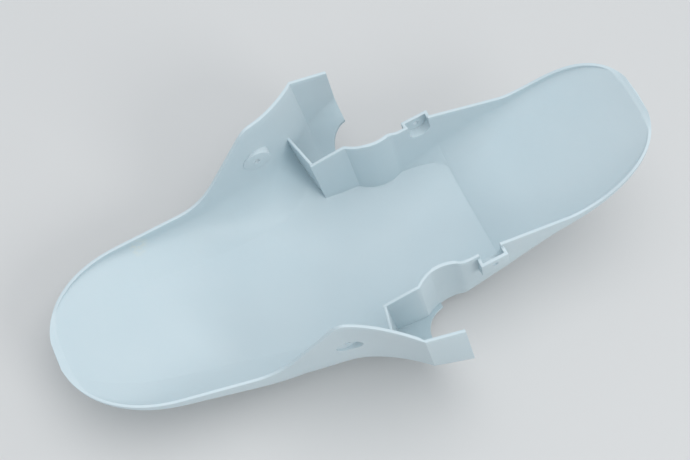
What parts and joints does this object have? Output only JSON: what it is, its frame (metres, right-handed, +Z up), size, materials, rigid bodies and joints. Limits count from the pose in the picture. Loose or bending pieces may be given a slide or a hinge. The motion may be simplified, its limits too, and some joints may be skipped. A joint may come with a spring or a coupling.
{
  "type": "motorcycle front fender",
  "caption": "Moulded motorcycle front fender: long rounded nose, wide folded ears with fork-leg notches, a flat-bottomed middle channel and a narrow round tail.",
  "frame": {"origin": "middle of the overall length and width, at the height of the lowest point of the crown on which the fender rests", "axes": "+X towards the tail, +Y towards the rider's left side, +Z up in the resting pose, which is towards the wheel; in use the fender is turned over, so that +Z faces the wheel axle"},
  "size_m": [0.5874, 0.3046, 0.1637],
  "materials": {
    "plastic": "satin-gloss moulded plastic, pale grey-blue, with faint scuffs"
  },
  "bodies": {
    "root": {"fender": "plastic"}
  },
  "joints": []
}
